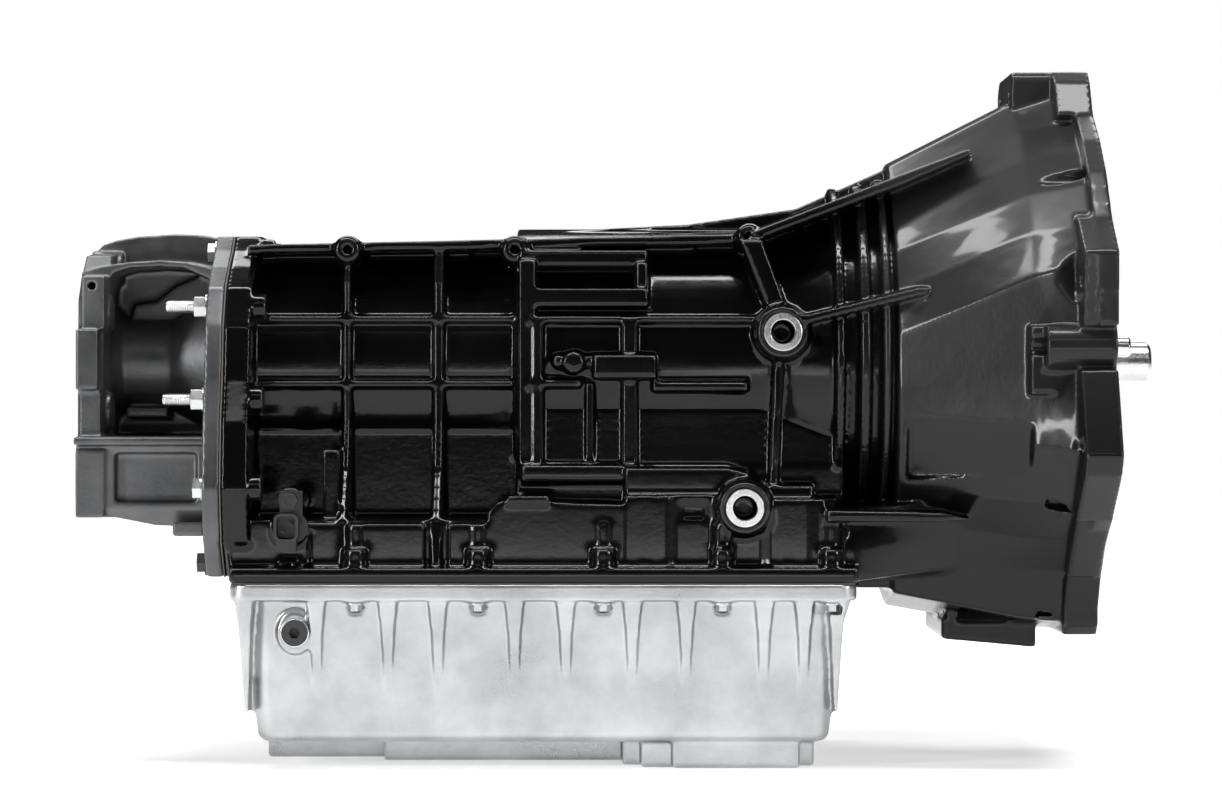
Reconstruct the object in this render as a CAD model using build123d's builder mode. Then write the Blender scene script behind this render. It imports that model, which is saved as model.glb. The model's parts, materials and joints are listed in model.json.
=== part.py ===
"""Automatic transmission with integral bell housing, rear adapter and deep oil pan.

Frame: millimetres, +X towards the engine, +Z up, origin on the shaft axis in the
plane of the engine mounting face.  The case, adapter and pan are separate castings;
the gear train, pump, controls and park mechanism are separate pieces inside.
"""
import math
import os

from build123d import *

os.makedirs("parts", exist_ok=True)

# ------------------------------------------------------------------ driving dimensions
FACE_X = 0.0            # engine mounting face
BELL_X = -159.0         # rear edge of the bell flare
JOINT_X = -456.0        # step between the front and rear barrels
REAR_X = -705.0         # case to adapter joint
ADAPT_X = -829.0        # transfer case mounting face
ADAPT_FLANGE = 14.0     # adapter front flange thickness
RAIL_Z = -177.0         # pan rail face
RAIL_T = 12.0           # pan rail thickness
RAIL_Y = 165.0          # pan rail half width
RAIL_X0, RAIL_X1 = -698.0, -198.0
GASKET_T = 1.0
PAN_TOP = RAIL_Z - GASKET_T
PAN_FLANGE = 13.0
PAN_LEDGE = -306.0
PAN_BOTTOM = -327.0
BARREL_R1 = 112.0       # front barrel outside
BARREL_R2 = 96.0        # rear barrel outside
CAVITY_R1 = 103.0
CAVITY_R2 = 88.0
BELL_OPEN_R = 186.0     # opening at the engine face
SHAFT_R = 17.2          # input shaft nose
INNER_R = 16.5          # input shaft behind the nose
M12_R, M10_R, M8_R, M6_R = 6.5, 5.25, 3.4, 3.3
PORT_R = 10.3           # cooler line port bore
PORTS = [(-256.7, 22.9, -152.0), (-287.6, -117.2, -167.0)]
BOSSES = [(-608.0, 90.5), (-472.0, 90.5), (-281.5, 100.5)]
PAN_BOLTS_X = [-598.0, -500.0, -400.0, -305.0, -218.0]
PAN_BOLT_Y = 156.0
PAN_END_BOLTS = [(-690.0, 0.0), (-690.0, 92.0), (-690.0, -92.0), (-206.0, 0.0), (-206.0, 92.0), (-206.0, -92.0)]
ENGINE_HOLES = [(34.0, 216.0), (141.0, 147.0), (212.0, 62.0), (238.0, -66.0), (176.0, -113.0), (97.0, -203.0)]
DOWEL_Y, DOWEL_Z, DOWEL_R = 212.0, 10.0, 8.0
REAR_STUDS = [(110.0, 44.0), (133.0, -31.0)]
REAR_BOLTS = [(36.0, 91.0), (146.0, -102.0)]
REAR_LOW_BOLTS = [(106.0, -163.0)]
TCASE_PCD, TCASE_COUNT = 158.0, 6

MODULE = 2.5
SUN_N, PLANET_N, RING_N = 26, 16, 58
PLANET_COUNT = 4
GEAR_X0, GEAR_X1 = -562.0, -532.0
PUMP_MODULE, PUMP_DRIVE_N, PUMP_DRIVEN_N = 3.5, 18, 27
PUMP_GEAR_X0, PUMP_GEAR_X1 = -178.0, -164.0
PUMP_OFFSET = 15.75
PAWL_Y, PAWL_Z = 52.0, -52.0
ADAPT_X0 = REAR_X - GASKET_T
PUMP_BOLT_R = 100.0
ROD_Y, ROD_Z = 22.0, -112.0


# ------------------------------------------------------------------ helpers used inside a part's block
def box(x0, x1, y0, y1, z0, z1, mode=Mode.ADD):
    with BuildSketch(Plane.XY.offset(min(z0, z1))) as profile:
        with Locations(((x0 + x1) / 2, (y0 + y1) / 2)):
            Rectangle(abs(x1 - x0), abs(y1 - y0))
    extrude(profile.sketch, amount=abs(z1 - z0), mode=mode, clean=False)


def cyl_x(x0, x1, r, y=0.0, z=0.0, mode=Mode.ADD):
    with BuildSketch(Plane.YZ.offset(min(x0, x1))) as profile:
        with Locations((y, z)):
            Circle(r)
    extrude(profile.sketch, amount=abs(x1 - x0), mode=mode, clean=False)


def cyl_y(y0, y1, r, x, z, mode=Mode.ADD):
    with BuildSketch(Plane(origin=(x, max(y0, y1), z), x_dir=(1, 0, 0), z_dir=(0, -1, 0))) as profile:
        Circle(r)
    extrude(profile.sketch, amount=abs(y1 - y0), mode=mode, clean=False)


def cyl_z(z0, z1, r, x, y, mode=Mode.ADD):
    with BuildSketch(Plane.XY.offset(min(z0, z1))) as profile:
        with Locations((x, y)):
            Circle(r)
    extrude(profile.sketch, amount=abs(z1 - z0), mode=mode, clean=False)


def cone_x(x0, x1, r0, r1, y=0.0, z=0.0, mode=Mode.ADD):
    with Locations(Location(((x0 + x1) / 2, y, z), (0, 90, 0))):
        Cone(r0, r1, abs(x1 - x0), mode=mode)


def prism_x(points, x0, x1, mode=Mode.ADD):
    """points are (y, z)"""
    with BuildSketch(Plane.YZ.offset(x0)) as profile:
        with BuildLine():
            Polyline(*points, close=True)
        make_face()
    extrude(profile.sketch, amount=x1 - x0, mode=mode, clean=False)


def prism_y(points, y0, y1, mode=Mode.ADD):
    """points are (x, z)"""
    with BuildSketch(Plane(origin=(0, y0, 0), x_dir=(1, 0, 0), z_dir=(0, -1, 0))) as profile:
        with BuildLine():
            Polyline(*points, close=True)
        make_face()
    extrude(profile.sketch, amount=y0 - y1, mode=mode, clean=False)


def prism_z(points, z0, z1, mode=Mode.ADD, taper=0.0):
    """points are (x, y)"""
    with BuildSketch(Plane.XY.offset(z0)) as profile:
        with BuildLine():
            Polyline(*points, close=True)
        make_face()
    extrude(profile.sketch, amount=z1 - z0, mode=mode, taper=taper, clean=False)


def loft_x(points_a, x_a, points_b, x_b):
    """ruled solid between two (y, z) outlines with the same number of corners"""
    with BuildSketch(Plane.YZ.offset(x_a)) as first:
        with BuildLine():
            Polyline(*points_a, close=True)
        make_face()
    with BuildSketch(Plane.YZ.offset(x_b)) as second:
        with BuildLine():
            Polyline(*points_b, close=True)
        make_face()
    loft([first.sketch.faces()[0], second.sketch.faces()[0]], ruled=True, clean=False)


def mirror_pts(half):
    """half outline from top to bottom at y >= 0 -> closed outline in (y, z)"""
    right = [(y, z) for y, z in half]
    left = [(-y, z) for y, z in reversed(half) if y > 1e-6]
    return right + left


def circle_ring(x0, x1, r, r_in, mode=Mode.ADD):
    with BuildSketch(Plane.YZ.offset(x0)) as profile:
        Circle(r)
        Circle(r_in, mode=Mode.SUBTRACT)
    extrude(profile.sketch, amount=x1 - x0, mode=mode, clean=False)


def hexagon_x(x0, x1, y, z, across_flats, mode=Mode.ADD):
    with BuildSketch(Plane.YZ.offset(x0)) as profile:
        with Locations((y, z)):
            RegularPolygon(across_flats / 2, 6, major_radius=False)
    extrude(profile.sketch, amount=x1 - x0, mode=mode, clean=False)


def gear_points(n, m, addendum, dedendum, thin, phase=0.0, steps=4):
    """Involute spur outline; addendum and dedendum in modules, thin is taken off each flank."""
    rp = n * m / 2
    rb = rp * math.cos(math.radians(20))
    ra, rf = rp + addendum * m, rp - dedendum * m
    inv20 = math.tan(math.radians(20)) - math.radians(20)

    def half_angle(r):
        base = math.pi / (2 * n) - thin / rp + inv20
        if r <= rb:
            return base
        a = math.acos(rb / r)
        return base - (math.tan(a) - a)

    start = max(rf, rb)
    radii = [start + (ra - start) * i / steps for i in range(steps + 1)]
    out = []
    for k in range(n):
        c = phase + 2 * math.pi * k / n
        flank = []
        if rf < start - 1e-6:
            flank.append((rf, half_angle(start)))
        flank += [(r, half_angle(r)) for r in radii]
        for r, h in flank:
            out.append((r * math.cos(c - h), r * math.sin(c - h)))
        for r, h in reversed(flank):
            out.append((r * math.cos(c + h), r * math.sin(c + h)))
    return out


def save(builder, name):
    builder.part.label = name
    export_step(builder.part, "parts/" + name + ".step")
    print(name, len(builder.part.solids()), round(builder.part.volume), builder.part.is_valid, flush=True)


# outlines shared by mating parts, as (y, z) with y >= 0
BELL_FLANGE = mirror_pts([
    (0, 240), (50, 240), (64, 230), (84, 202), (126, 178), (163, 150), (196, 112), (236, 84),
    (230, -8), (262, -75), (251, -90), (198, -126), (158, -147), (130, -174), (113, -200),
    (112, -214), (102, -222), (0, -222)])
REAR_FLANGE = mirror_pts([
    (0, 106), (42, 104), (60, 92), (88, 77), (114, 60), (133, 28), (141, -15), (153, -50),
    (160, -103), (149, -145), (122, -174), (0, -174)])

BELL_REAR = [(0, 166), (38, 162), (70, 142), (98, 117), (120, 88), (136, 56), (146, 20), (148, -20), (146, -62),
             (134, -100), (120, -130), (110, -160), (98, -188), (0, -203)]
BELL_MID = [(0, 219), (44, 215), (76, 188), (112, 161), (145, 133), (173, 101), (197, 66), (202, -8), (210, -68),
            (174, -113), (136, -141), (114, -169), (101, -208), (0, -222)]
BELL_FRONT = [(0, 233), (47, 231), (78, 197), (121, 170), (157, 142), (190, 106), (227, 80), (222, -8), (252, -74),
              (192, -120), (151, -142), (123, -170), (105, -212), (0, -222)]

# ------------------------------------------------------------------ main case with integral bell
with BuildPart() as case_skin:
    # barrels and the flare
    cyl_x(REAR_X, JOINT_X + 10, BARREL_R2)
    cyl_x(JOINT_X - 12, -268, BARREL_R1)
    cone_x(-272, BELL_X, 112, 142)
    # bell skin, from the front barrel to just inside the flange outline
    loft_x(mirror_pts(BELL_REAR), -165, mirror_pts(BELL_MID), -60)
    loft_x(mirror_pts(BELL_MID), -60, mirror_pts(BELL_FRONT), -8)
    prism_x(mirror_pts([(0, -100), (108, -160), (96, -184), (0, -187)]), -196, -160)
    # shoulders running from the front of the rail into the bell
    shoulder = mirror_pts([(0, -110), (138, -118), (146, -150), (146, RAIL_Z + 0.1), (0, RAIL_Z + 0.1)])
    prism_x(shoulder, -208, -200)
    loft_x(shoulder, -200, mirror_pts([(0, -110), (136, -112), (122, -145), (108, -172), (0, -190)]), -110)
    # dust lip under the bell
    prism_y([(-117, -204), (-122, -212), (-122, -228), (-44, -235), (-44, -206)], -60, 92)
    # flange plate and its thicker blocks
    prism_x(BELL_FLANGE, -15, FACE_X)
    for s in (-1, 1):
        box(-16, 1, s * 217, s * 245, -7.5, 25.5, mode=Mode.SUBTRACT)
    prism_x([(-150, 120), (-192, 112), (-236, 84), (-228, 26), (-185, 26)], -27, -1)
    prism_x([(150, 120), (192, 112), (236, 84), (228, 26), (185, 26)], -27, -1)
    prism_x([(-185, -8), (-230, -8), (-262, -75), (-251, -90), (-198, -126), (-150, -110)], -29, -1)
    prism_x([(185, -8), (230, -8), (262, -75), (251, -90), (198, -126), (150, -110)], -29, -1)
    prism_x(mirror_pts([(0, -172), (130, -174), (113, -200), (112, -214), (102, -222), (0, -222)]), -28, -1)
    prism_x(mirror_pts([(0, 240), (50, 240), (64, 230), (84, 202), (60, 190), (0, 190)]), -30, -1)
    # bosses behind the flange
    for s in (-1, 1):
        cyl_x(-64, -1, 17, s * 34.0, 220.0)
        cyl_x(-55, 0, 17.5, s * DOWEL_Y, DOWEL_Z)
        box(-66, -18, s * 150, s * 213, -27, 26)
        prism_x([(s * 202, -118), (s * 132, -174), (s * 112, -165), (s * 180, -105)], -28, -1)
    prism_x([(-52, 196), (-52, 235), (-46, 240), (46, 240), (52, 235), (52, 196)], -63, -1)
    # lower box and pan rail
    box(-700, -206, -146, 146, RAIL_Z, -127)
    box(-684, -470, -78, 78, -130, 0)
    prism_x(mirror_pts([(0, -20), (100, -20), (118, -84), (118, -130), (0, -130)]), -470, -206)
    box(RAIL_X0, RAIL_X1, -RAIL_Y, RAIL_Y, RAIL_Z, RAIL_Z + RAIL_T)
    prism_x(REAR_FLANGE, REAR_X, REAR_X + 21)
    # ring ribs round the front barrel
    circle_ring(-213, -207, 146, 100)
    circle_ring(-194, -186, 149, 100)
    circle_ring(-176, -170, 153, 100)
    circle_ring(-472, -455, 112, 80)
    for s in (-1, 1):
        box(-468, -455, s * 90, s * 121, -84, 82)

with BuildPart() as case_ribs:
    for s in (-1, 1):
        y_in, y_out = s * 20.0, s * 94.0
        # top deck along the case
        prism_y([(-690, 88), (-690, 95), (-281, 104), (-281, 96)], y_in, y_out)
        # deck rising to the bell
        prism_y([(-282, 96), (-282, 104), (-157, 152), (-104, 172), (-100, 168), (-157, 143)], y_in, s * 112.0)
        # long ribs
        box(-684, -460, s * 70, s * 105, 32, 37)
        box(-460, -262, s * 90, s * 123, 31, 36)
        box(-684, -470, s * 70, s * 105, -21, -16)
        box(-360, -284, s * 90, s * 123, -24, -17)
        box(-460, -418, s * 90, s * 123, -21, -15)
        prism_y([(-262, 30), (-262, 36), (-236, 37), (-150, 58), (-140, 58), (-142, 53), (-236, 30)], s * 90, s * 153.0)
        prism_y([(-222, -128), (-222, -119), (-130, -121), (-108, -126), (-130, -128)], s * 90, s * 163.0)
        # upright ribs from the deck to the rail
        web = [(s * 40, 92), (s * 92, 90), (s * 104, 62), (s * 106, -50), (s * 116, -88), (s * 148, -128), (s * 152, -170), (s * 40, -170)]
        prism_x(web, -611, -605)
        prism_x(web, -538, -530)
        # upright behind the rear flange
        prism_x([(s * 60, 90), (s * 104, 60), (s * 122, 20), (s * 130, -60), (s * 146, -110), (s * 146, -170), (s * 40, -170)], -690, -684)
    # bracket bosses and the struts below them
    for bx, bz in BOSSES:
        cyl_y(-40, -104, 9.6, bx, bz)
        cyl_y(-40, -100, 12.0, bx, bz)
    prism_y([(-290, 98), (-272, 98), (-247, 30), (-263, 30)], -80, -122)
    # cooler line port bosses
    for px, pz, py in PORTS:
        cyl_y(-90, py, 20.5, px, pz)
        cyl_y(-90, py + 14, 23.0, px, pz)
    prism_y([(-262, 12), (-255, 12), (-260, -100), (-267, -100)], -90, -136)
    # block of pads and frames in the middle of the side
    box(-466, -375, -134, -90, -97, -84)
    box(-456, -449, -124, -90, -90, 34)
    box(-385, -373, -125, -90, -90, 34)
    box(-414, -408, -119, -90, -86, -18)
    box(-408, -358, -134, -90, -14, 5)
    cyl_y(-90, -131, 8.5, -424, -1)
    box(-438, -408, -126, -90, -5, 4)
    cyl_y(-90, -127, 5.0, -436, 0)
    box(-467, -364, -121, -80, 44, 59)
    box(-467, -364, -106, -60, 76, 90)
    box(-374, -364, -112, -60, 44, 80)
    # long pod and the ledge under it
    prism_y([(-383, -86), (-300, -86), (-283, -90), (-280, -96), (-284, -103), (-383, -103)], -90, -140)
    box(-383, -268, -146, -100, -112, -107)
    # control cover, corner boxes and wavy wall above the rail
    prism_y([(-493, -177), (-493, -122), (-486, -114), (-474, -109), (-444, -109), (-441, -113), (-383, -115), (-383, -177)], -100, -152)
    box(-476, -444, -154, -100, -113, -108)
    prism_z([(-383, -100), (-383, -150), (-368, -152), (-350, -150), (-336, -144), (-322, -143), (-310, -149), (-300, -150), (-300, -100)], -177, -108)
    prism_z([(-276, -100), (-276, -146), (-266, -152), (-240, -155), (-224, -152), (-214, -142), (-208, -120), (-208, -100)], -177, -110)
    box(-276, -232, -140, -100, -112, -100)
    # bolt bosses on the rail, both sides
    for bx in PAN_BOLTS_X:
        for s in (-1, 1):
            cyl_z(RAIL_Z + 1, -150, 9.5, bx, s * (PAN_BOLT_Y - 3))
            cyl_z(RAIL_Z + 1, -130, 8.0, bx, s * 147)
    # pads of the lower box between the uprights
    for x0, x1 in [(-594, -543), (-524, -506)]:
        box(x0, x1, -152, -100, -165, -130)
    box(-634, -612, -150, -100, -168, -130)
    box(-625, -612, -140, -100, -131, -71)
    # bosses of the speed sensor and its bolt
    cyl_y(-90, -150, 14.0, -650, -133)
    cyl_y(-90, -150, 10.5, -650, -111.5)
    cyl_z(RAIL_Z + 1, -160, 7.5, -651, -150)
    # bosses for the adapter studs behind the rear flange
    for by, bz in REAR_STUDS + REAR_BOLTS + REAR_LOW_BOLTS:
        for s in (-1, 1):
            cyl_x(-686, -672, 11.0, s * by, bz)
    # selector shaft and connector bosses on the far side
    cyl_y(60, 152, 19.0, -430, -88)
    box(-590, -530, 70, 148, -125, -66)
    box(-578, -522, 100, 152, -165, -118)
    cyl_y(60, 142, 16.0, -330, 40)
    prism_y([(-290, 98), (-272, 98), (-247, 30), (-263, 30)], 80, 122)
    prism_y([(-262, 36), (-255, 36), (-260, -120), (-267, -120)], 80, 130)
    # spine along the top of the front barrel
    prism_y([(-480, 92), (-468, 108), (-330, 115), (-240, 128), (-150, 168), (-150, 100), (-480, 80)], -26, 26)

with BuildPart() as case_cuts:
    # bell interior
    cone_x(-150, -60, 148, 187)
    cone_x(-60.5, 1, 186.5, BELL_OPEN_R)
    # pump seat, then the clutch and gear bores
    cyl_x(-60, 1, 92, 0, 102)
    cone_x(-120, -59, 60, 92, 0, 102)
    box(-108, -30, -80, 80, -212, -150)
    box(-216, -188, -124, 124, -165, -134)
    for x0, x1 in [(-450, -395), (-385, -340), (-330, -280), (-270, -222)]:
        for s in (-1, 1):
            box(x0, x1, s * 68, s * 106, -135, -92)
        box(x0, x1, -58, 4, -135, -112)
    for x0, x1 in [(-680, -630), (-550, -515), (-505, -478)]:
        box(x0, x1, -66, 66, -135, -99)
    # window from the selector to the valve body
    box(-474, -386, 8, 56, -136, -70)
    # channel for the park rod and window under the pawl
    box(-622, -400, 12, 34, -136, -100)
    box(-617, -593, 2, 70, -136, -60)
    cyl_x(-186, -149, 118)
    cyl_x(JOINT_X - 4, -185, CAVITY_R1)
    cyl_x(-690, JOINT_X, CAVITY_R2)
    cyl_x(REAR_X - 1, -689, 66)
    # valve body cavity
    box(-690, -214, -137, 137, RAIL_Z - 1, -134)
    box(-600, -560, -30, 30, -150, -60)
    # shallow pocket and bolt scoops in the bell
    for s in (-1, 1):
        cone_x(-68, -28, 8, 29, s * 227, 68)
        cyl_x(-60, -30, 15, s * 244, -66)
    for s in (-1, 1):
        loft_x([(s * 149, -46), (s * 240, -46), (s * 240, -94), (s * 130, -94)], -157,
               [(s * 205, -50), (s * 240, -50), (s * 240, -92), (s * 190, -92)], -64)
    # engine bolt and dowel holes
    for s in (-1, 1):
        for hy, hz in ENGINE_HOLES:
            cyl_x(-80 if hz > 200 else -50, 1, M12_R, s * hy, hz)
        cyl_x(-14, 1, DOWEL_R, s * DOWEL_Y, DOWEL_Z)
        cyl_x(-80, -10, M12_R, s * DOWEL_Y, DOWEL_Z)
        # adapter studs and bolts
        for by, bz in REAR_STUDS + REAR_BOLTS + REAR_LOW_BOLTS:
            cyl_x(REAR_X - 1, REAR_X + 25, 5.0, s * by, bz)
        for bx in PAN_BOLTS_X:
            cyl_z(RAIL_Z - 1, RAIL_Z + 20, 3.0, bx, s * PAN_BOLT_Y)
    for bx, by in PAN_END_BOLTS:
        cyl_z(RAIL_Z - 1, RAIL_Z + 14, 3.0, bx, by)
    for bx, bz in BOSSES:
        cyl_y(-106, -82, M8_R, bx, bz)
        cyl_y(-106, -102.5, 5.2, bx, bz)
    for px, pz, py in PORTS:
        cyl_y(py - 1, py + 34, PORT_R, px, pz)
        cyl_y(py - 1, py + 12, 15.4, px, pz)
    # selector shaft, connector and sensor bores
    cyl_y(40, 160, 8.05, -430, -88)
    cyl_x(REAR_X - 1, -680, 5.0, PAWL_Y, PAWL_Z)
    cyl_y(-160, -120, 9.6, -650, -133)
    cyl_y(-160, -135, 3.0, -650, -111.5)
    cyl_y(125, 160, 17.0, -550, -142)
    cyl_y(120, 150, 4.0, -330, 40)

with BuildPart() as main_case:
    add(case_skin.part)
    add(case_ribs.part)
    add(case_cuts.part, mode=Mode.SUBTRACT)
save(main_case, "main_case")

# ------------------------------------------------------------------ rear adapter
VAULT = [(-829, 74), (-812, 79), (-790, 82), (-765, 83.5), (-745, 82.5), (-728, 79), (-716, 75)]
with BuildPart() as rear_adapter:
    prism_x(REAR_FLANGE, ADAPT_X0 - ADAPT_FLANGE, ADAPT_X0)
    # barrel, its flare to the flange and its roll at the rear plate
    cyl_x(-812, -745, 38)
    cone_x(-761, -716, 38, 60)
    cone_x(-808, -799, 47, 38)
    # rear face plate with bosses and a stepped edge
    prism_x(mirror_pts([(0, 92), (40, 88), (70, 68), (86, 50), (88, -20), (88, -127), (60, -118), (30, -92), (0, -92)]), ADAPT_X, -808)
    for k in range(TCASE_COUNT):
        a = math.radians(30 + 360 / TCASE_COUNT * k)
        cyl_x(ADAPT_X, -803, 15, 79 * math.cos(a), 79 * math.sin(a))
    for s in (-1, 1):
        box(-825, -806, s * 56, s * 96, 26, 70)
        box(-829, -811, s * 80, s * 100, -23, 26)
        box(-827, -809, s * 80, s * 96, -66, -22)
        box(-829, -806, s * 84, s * 101, -127, -72)
    # vaulted roof, the ridge over it and the centre web
    prism_y(VAULT + [(-716, 58), (-724, 68), (-745, 77.5), (-765, 78.5), (-790, 77), (-803, 73), (-808, 60), (-829, 60)], -66, 66)
    prism_y([(-826, 74), (-826, 92), (-820, 99), (-808, 103), (-790, 106), (-759, 108), (-735, 107), (-716, 103), (-716, 70)], -4, 4)
    box(-812, -716, -4, 4, -64, 80)
    prism_y([(-798, 30), (-792, 49), (-774, 51), (-758, 64), (-736, 73), (-716, 73), (-716, 0), (-798, 0)], -13, 13)
    # shelf and the ledge under the barrel
    box(-829, -716, -112, 112, -68, -61)
    box(-797, -762, -34, 34, -46, -37)
    # lower chamber
    box(-806, -716, -92, 92, -82, -62)
    for s in (-1, 1):
        prism_y([(-829, -64), (-829, -127), (-797, -127), (-765, -133.5), (-716, -135), (-716, -64)], s * 84, s * 98)
    prism_y([(-829, -112), (-829, -127), (-797, -127), (-765, -133.5), (-716, -135), (-716, -120)], -92, 92)
    box(-750, -724, -104, -60, -142, -130)
    # recesses and sloped lower edges of its walls
    for s in (-1, 1):
        box(-797, -731, s * 90, s * 99, -114, -74, mode=Mode.SUBTRACT)
        prism_x([(s * 99, -118), (s * 99, -137), (s * 88, -137)], -805, -722, mode=Mode.SUBTRACT)
    # bores
    cyl_x(-718, ADAPT_X0 + 1, 62, mode=Mode.SUBTRACT)
    cyl_x(-830, ADAPT_X0 + 1, 23, mode=Mode.SUBTRACT)
    cyl_x(-830, -819, 30, mode=Mode.SUBTRACT)
    box(-830, -800, -72, 72, -112, -84, mode=Mode.SUBTRACT)
    for k in range(TCASE_COUNT):
        a = math.radians(30 + 360 / TCASE_COUNT * k)
        cyl_x(ADAPT_X - 1, -812, M10_R, 79 * math.cos(a), 79 * math.sin(a), mode=Mode.SUBTRACT)
    for s in (-1, 1):
        for by, bz in REAR_STUDS + REAR_BOLTS + REAR_LOW_BOLTS:
            cyl_x(-722, ADAPT_X0 + 1, 5.4, s * by, bz, mode=Mode.SUBTRACT)
        cyl_y(s * 50, s * 100, 3.3, -816.5, 61.5, mode=Mode.SUBTRACT)
save(rear_adapter, "rear_adapter")

with BuildPart() as adapter_gasket:
    prism_x(REAR_FLANGE, ADAPT_X0, REAR_X)
    cyl_x(ADAPT_X0 - 1, REAR_X + 1, 66, mode=Mode.SUBTRACT)
    for s in (-1, 1):
        for by, bz in REAR_STUDS + REAR_BOLTS + REAR_LOW_BOLTS:
            cyl_x(ADAPT_X0 - 1, REAR_X + 1, 5.6, s * by, bz, mode=Mode.SUBTRACT)
    cyl_x(ADAPT_X0 - 1, REAR_X + 1, 5.6, PAWL_Y, PAWL_Z, mode=Mode.SUBTRACT)
save(adapter_gasket, "adapter_gasket")

STUD_END = ADAPT_X0 - ADAPT_FLANGE
with BuildPart() as adapter_studs:
    for s in (-1, 1):
        for by, bz in REAR_STUDS:
            cyl_x(-752, REAR_X + 24, 5.0, s * by, bz)
            cone_x(-754, -752, 4.0, 5.0, s * by, bz)
save(adapter_studs, "adapter_studs")

with BuildPart() as adapter_nuts:
    for s in (-1, 1):
        for by, bz in REAR_STUDS:
            cyl_x(STUD_END - 2, STUD_END, 10.0, s * by, bz)
            hexagon_x(STUD_END - 11, STUD_END - 2, s * by, bz, 16.0)
            cyl_x(STUD_END - 12, STUD_END + 1, 5.0, s * by, bz, mode=Mode.SUBTRACT)
save(adapter_nuts, "adapter_nuts")

with BuildPart() as adapter_bolts:
    for s in (-1, 1):
        for by, bz in REAR_BOLTS:
            cyl_x(STUD_END, REAR_X + 24, 5.0, s * by, bz)
            cyl_x(STUD_END - 2, STUD_END, 9.5, s * by, bz)
            hexagon_x(STUD_END - 8, STUD_END - 2, s * by, bz, 15.0)
save(adapter_bolts, "adapter_bolts")

with BuildPart() as adapter_lower_bolts:
    for s in (-1, 1):
        for by, bz in REAR_LOW_BOLTS:
            cyl_x(STUD_END, REAR_X + 24, 5.0, s * by, bz)
            cyl_x(STUD_END - 2.5, STUD_END, 10.5, s * by, bz)
            hexagon_x(STUD_END - 9, STUD_END - 2.5, s * by, bz, 15.0)
save(adapter_lower_bolts, "adapter_lower_bolts")

# ------------------------------------------------------------------ oil pan
def pan_profile(x0, x1, ys, z_a, z_b, inset):
    return [(x0 + inset, -ys), (x1 - inset, -ys), (x1 - inset, ys), (x0 + inset, ys)]


with BuildPart() as pan_flutes:
    # wedges under the flange, wide at the top and running out down the wall
    for s in (-1, 1):
        prism_x([(s * 120, -186), (s * 163, -186), (s * 161.5, -196), (s * 139.5, -282), (s * 120, -282)], -696, -201)
    with BuildSketch(Plane(origin=(0, 200, 0), x_dir=(1, 0, 0), z_dir=(0, -1, 0))) as flutes:
        for gx in (-686, -629, -572, -532, -471, -430, -377, -334, -272, -240, -214):
            with BuildLine():
                Polyline((gx - 8, -185), (gx + 8, -185), (gx + 5, -215), (gx + 1.5, -282), (gx - 1.5, -282), (gx - 5, -215), close=True)
            make_face()
    extrude(flutes.sketch, amount=400, mode=Mode.INTERSECT)

with BuildPart() as pan_body:
    with BuildSketch(Plane.XY.offset(PAN_TOP)):
        with Locations(((RAIL_X0 + RAIL_X1) / 2, 0)):
            RectangleRounded(RAIL_X1 - RAIL_X0, 2 * RAIL_Y, 14)
    extrude(amount=-PAN_FLANGE)
    with BuildSketch(Plane.XY.offset(PAN_TOP - PAN_FLANGE + 1)):
        with Locations((-448.5, 0)):
            RectangleRounded(487, 304, 30)
    extrude(amount=-(PAN_TOP - PAN_FLANGE + 1 - PAN_LEDGE), taper=7)
    fillet(pan_body.edges().group_by(Axis.Z)[0], radius=9)
    # stepped feet under the ledge
    prism_z([(-678, -41), (-580, -41), (-580, -70), (-385, -70), (-385, -107), (-370, -107), (-370, -127), (-345, -127),
             (-345, -134), (-243, -134), (-243, -115), (-230, -115), (-230, 115), (-243, 115), (-243, 134), (-345, 134),
             (-345, 127), (-370, 127), (-370, 107), (-385, 107), (-385, 70), (-580, 70), (-580, 41), (-678, 41)], PAN_LEDGE + 4, PAN_BOTTOM)
    add(pan_flutes.part)
    for gy in (-110, -55, 0, 55, 110):
        for x_in, x_out, x_low in ((-680, -696, -680), (-218, -200, -222)):
            prism_y([(x_in, -188), (x_out, -188), (x_out, -194), (x_low, -262)], gy - 3, gy + 3)
    # raised pad round the side plug
    with BuildSketch(Plane(origin=(-646, -140, -217), x_dir=(1, 0, 0), z_dir=(0, -1, 0))) as pad:
        Ellipse(14.5, 17.5)
    extrude(pad.sketch, amount=14)
    for bx in PAN_BOLTS_X:
        for s in (-1, 1):
            cyl_z(PAN_TOP - PAN_FLANGE - 2, PAN_TOP - 2, 9.5, bx, s * (PAN_BOLT_Y - 1))

with BuildPart() as pan_cuts:
    with BuildSketch(Plane.XY.offset(PAN_TOP + 1)):
        with Locations((-448.5, 0)):
            RectangleRounded(474, 292, 26)
    extrude(amount=-(PAN_TOP + 1 - PAN_LEDGE - 6), taper=7)
    prism_z([(-560, -60), (-380, -60), (-380, -96), (-345, -96), (-345, -122), (-250, -122), (-250, -104), (-238, -104),
             (-238, 104), (-250, 104), (-250, 122), (-345, 122), (-345, 96), (-380, 96), (-380, 60), (-560, 60)], PAN_LEDGE + 8, PAN_BOTTOM + 6)
    box(-670, -558, -34, 34, PAN_LEDGE + 8, PAN_BOTTOM + 6)
    for bx in PAN_BOLTS_X:
        for s in (-1, 1):
            cyl_z(-200, PAN_TOP + 1, 3.4, bx, s * PAN_BOLT_Y)
            cyl_z(-202, PAN_TOP - PAN_FLANGE - 2, 8.5, bx, s * PAN_BOLT_Y)
    for bx, by in PAN_END_BOLTS:
        cyl_z(-200, PAN_TOP + 1, 3.4, bx, by)
        cyl_z(-200, PAN_TOP - PAN_FLANGE, 8.0, bx, by)
    cyl_y(-160, -120, 8.0, -646, -217)

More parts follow.
